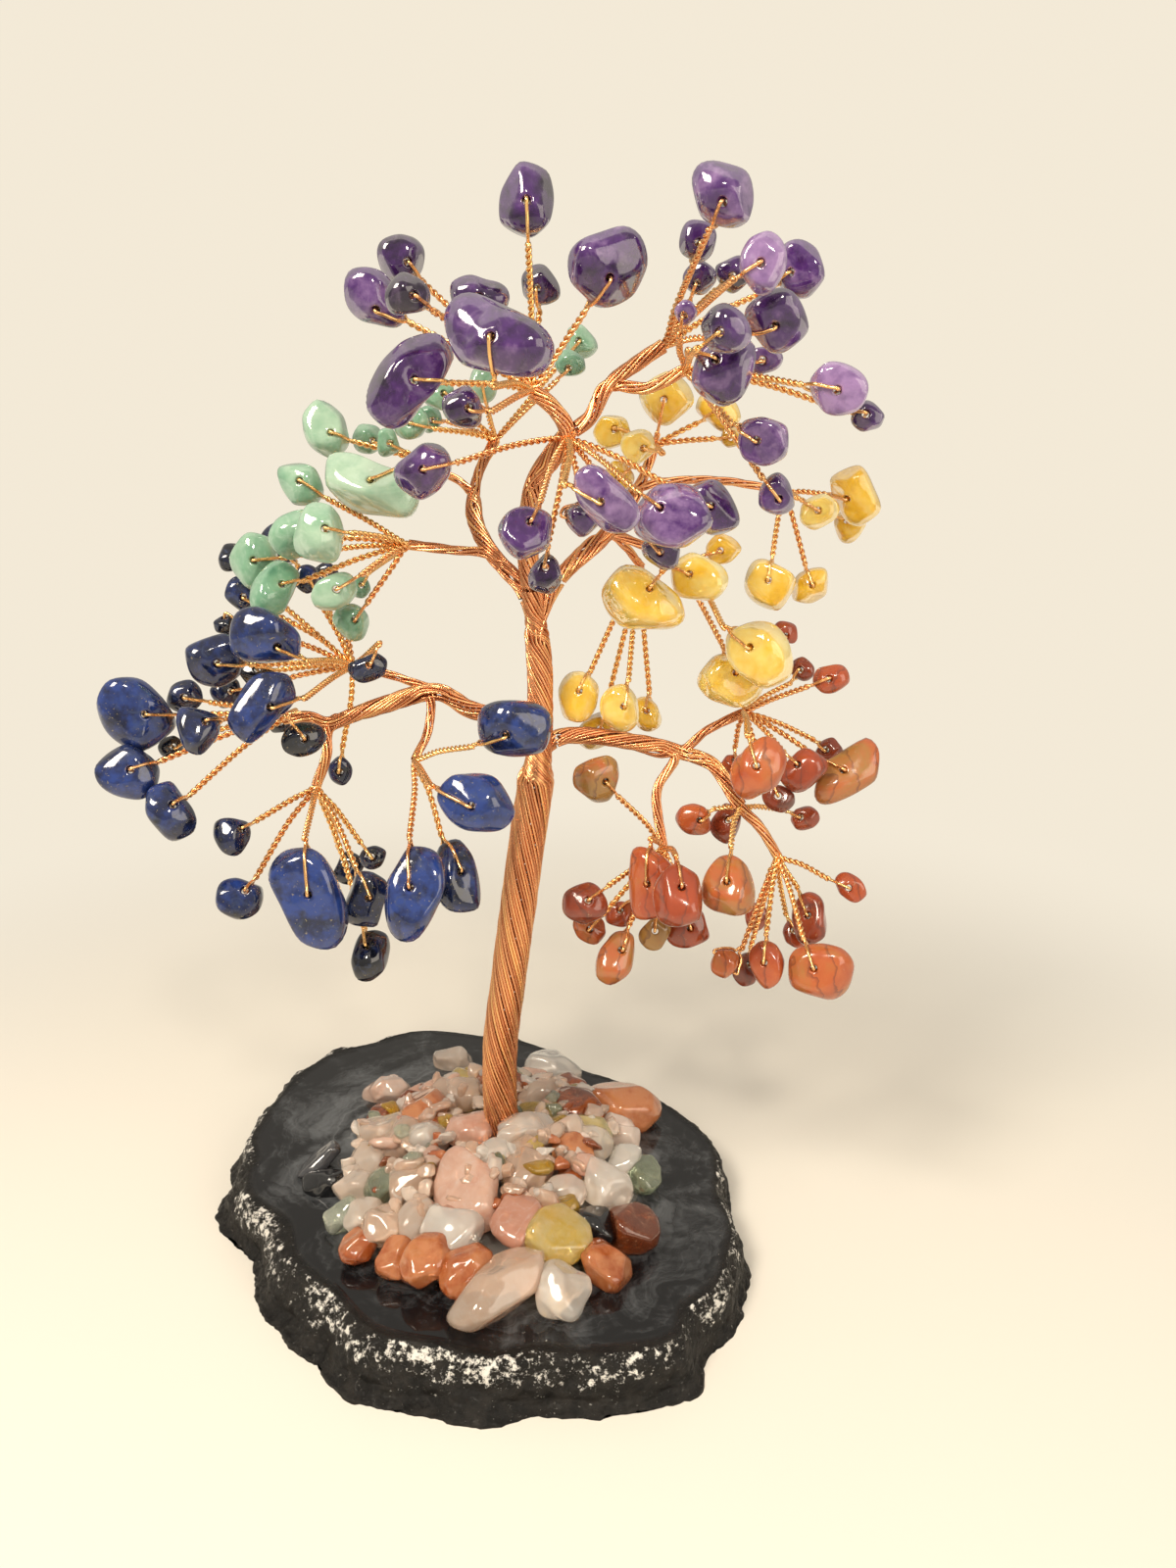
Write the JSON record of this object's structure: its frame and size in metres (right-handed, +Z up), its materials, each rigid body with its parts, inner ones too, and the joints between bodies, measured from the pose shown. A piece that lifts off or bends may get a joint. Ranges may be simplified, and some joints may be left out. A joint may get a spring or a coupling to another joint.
{
  "type": "gemstone tree ornament",
  "caption": "Small table ornament: a twisted copper wire tree hung with tumbled drilled gemstones, standing in a heap of stone chips on a polished agate slice.",
  "frame": {"origin": "middle of the slice's flat underside, on the surface it rests on", "axes": "+Z up, -Y towards the side that the picture shows, +X to its right; metres"},
  "size_m": [0.114, 0.1026, 0.1582],
  "materials": {
    "agate": "polished face, rough speckled rim",
    "resin": "clear glue",
    "copper_wire": "bare copper",
    "fine_copper_wire": "bare copper",
    "clear_quartz": "tumbled, clear",
    "rose_quartz": "tumbled",
    "carnelian": "tumbled",
    "yellow_chips": "tumbled",
    "green_chips": "tumbled",
    "dark_chips": "tumbled",
    "amethyst": "tumbled, translucent",
    "aventurine": "tumbled, translucent",
    "citrine": "tumbled, clear",
    "lapis": "tumbled",
    "jasper": "tumbled"
  },
  "bodies": {
    "base": {"agate_slice": "agate", "resin_bed": "resin", "trunk_wires": "copper_wire", "trunk_roots": "copper_wire", "clear_quartz_chips": "clear_quartz", "rose_quartz_chips": "rose_quartz", "carnelian_chips": "carnelian", "citrine_chips": "yellow_chips", "green_chips": "green_chips", "dark_chips": "dark_chips"},
    "lapis_branch": {"lapis_bough": "copper_wire", "lapis_upper_twigs": "fine_copper_wire", "lapis_upper_stones": "lapis", "lapis_tip_twigs": "fine_copper_wire", "lapis_tip_stones": "lapis", "lapis_lower_twigs": "fine_copper_wire", "lapis_lower_stones": "lapis", "lapis_inner_twigs": "fine_copper_wire", "lapis_inner_stones": "lapis"},
    "jasper_branch": {"jasper_bough": "copper_wire", "jasper_upper_twigs": "fine_copper_wire", "jasper_upper_stones": "jasper", "jasper_middle_twigs": "fine_copper_wire", "jasper_middle_stones": "jasper", "jasper_left_twigs": "fine_copper_wire", "jasper_left_stones": "jasper", "jasper_lower_twigs": "fine_copper_wire", "jasper_lower_stones": "jasper"},
    "aventurine_branch": {"aventurine_bough": "copper_wire", "aventurine_left_twigs": "fine_copper_wire", "aventurine_left_stones": "aventurine", "aventurine_middle_twigs": "fine_copper_wire", "aventurine_middle_stones": "aventurine", "aventurine_top_twigs": "fine_copper_wire", "aventurine_top_stones": "aventurine"},
    "citrine_branch": {"citrine_bough": "copper_wire", "citrine_upper_twigs": "fine_copper_wire", "citrine_upper_stones": "citrine", "citrine_tip_twigs": "fine_copper_wire", "citrine_tip_stones": "citrine", "citrine_middle_twigs": "fine_copper_wire", "citrine_middle_stones": "citrine", "citrine_hanging_twigs": "fine_copper_wire", "citrine_hanging_stones": "citrine"},
    "crown_branch": {"crown_stem": "copper_wire", "amethyst_crown_upper_twigs": "fine_copper_wire", "amethyst_crown_upper_stones": "amethyst", "amethyst_crown_front_twigs": "fine_copper_wire", "amethyst_crown_front_stones": "amethyst"},
    "amethyst_branch": {"amethyst_bough": "copper_wire", "amethyst_right_upper_twigs": "fine_copper_wire", "amethyst_right_upper_stones": "amethyst", "amethyst_right_lower_twigs": "fine_copper_wire", "amethyst_right_lower_stones": "amethyst"},
    "top_amethyst": {"top_amethyst": "amethyst"},
    "pale_amethyst": {"pale_amethyst": "amethyst"},
    "bright_lapis": {"bright_lapis": "lapis"},
    "corner_lapis": {"corner_lapis": "lapis"},
    "wing_jasper": {"wing_jasper": "jasper"},
    "block_jasper": {"block_jasper": "jasper"}
  },
  "joints": [
    {"name": "lapis_branch_bend", "type": "hinge", "parent": "base", "child": "lapis_branch", "pos_m": [0.0039, 0, 0.08446], "axis": [0, -1, 0], "range_deg": [0, 8]},
    {"name": "jasper_branch_bend", "type": "hinge", "parent": "base", "child": "jasper_branch", "pos_m": [0.01401, 0.002, 0.08186], "axis": [0, 1, 0], "range_deg": [0, 8]},
    {"name": "aventurine_branch_bend", "type": "hinge", "parent": "base", "child": "aventurine_branch", "pos_m": [0.00478, 0.0012, 0.10557], "axis": [0, 1, 0], "range_deg": [0, 8]},
    {"name": "citrine_branch_bend", "type": "hinge", "parent": "base", "child": "citrine_branch", "pos_m": [0.01334, 0.0032, 0.1075], "axis": [0, -1, 0], "range_deg": [0, 8]},
    {"name": "crown_branch_bend", "type": "hinge", "parent": "base", "child": "crown_branch", "pos_m": [0.00691, -0.0008, 0.10815], "axis": [1, 0, 0], "range_deg": [0, 5]},
    {"name": "amethyst_branch_bend", "type": "hinge", "parent": "crown_branch", "child": "amethyst_branch", "pos_m": [0.0159, -0.0036, 0.12798], "axis": [0, -1, 0], "range_deg": [0, 8]},
    {"name": "top_amethyst_swing", "type": "hinge", "parent": "crown_branch", "child": "top_amethyst", "pos_m": [0.00785, -0.01136, 0.15281], "axis": [0.0452, -0.9949, 0.0904], "range_deg": [-14, 14]},
    {"name": "pale_amethyst_swing", "type": "hinge", "parent": "amethyst_branch", "child": "pale_amethyst", "pos_m": [0.04698, -0.01454, 0.13063], "axis": [-0.0739, -0.9909, 0.1125], "range_deg": [-14, 14]},
    {"name": "bright_lapis_swing", "type": "hinge", "parent": "lapis_branch", "child": "bright_lapis", "pos_m": [0.00055, -0.0239, 0.07889], "axis": [-0.0422, -0.9846, 0.1696], "range_deg": [-14, 14]},
    {"name": "corner_lapis_swing", "type": "hinge", "parent": "lapis_branch", "child": "corner_lapis", "pos_m": [0.00455, -0.01602, 0.08678], "axis": [-0.005, -1, 0.0075], "range_deg": [-14, 14]},
    {"name": "wing_jasper_swing", "type": "hinge", "parent": "jasper_branch", "child": "wing_jasper", "pos_m": [0.05343, -0.00066, 0.0769], "axis": [0.0528, -0.9482, 0.3132], "range_deg": [-14, 14]},
    {"name": "block_jasper_swing", "type": "hinge", "parent": "jasper_branch", "child": "block_jasper", "pos_m": [0.04869, -0.01335, 0.05071], "axis": [-0.2028, -0.9467, 0.2505], "range_deg": [-14, 14]}
  ]
}
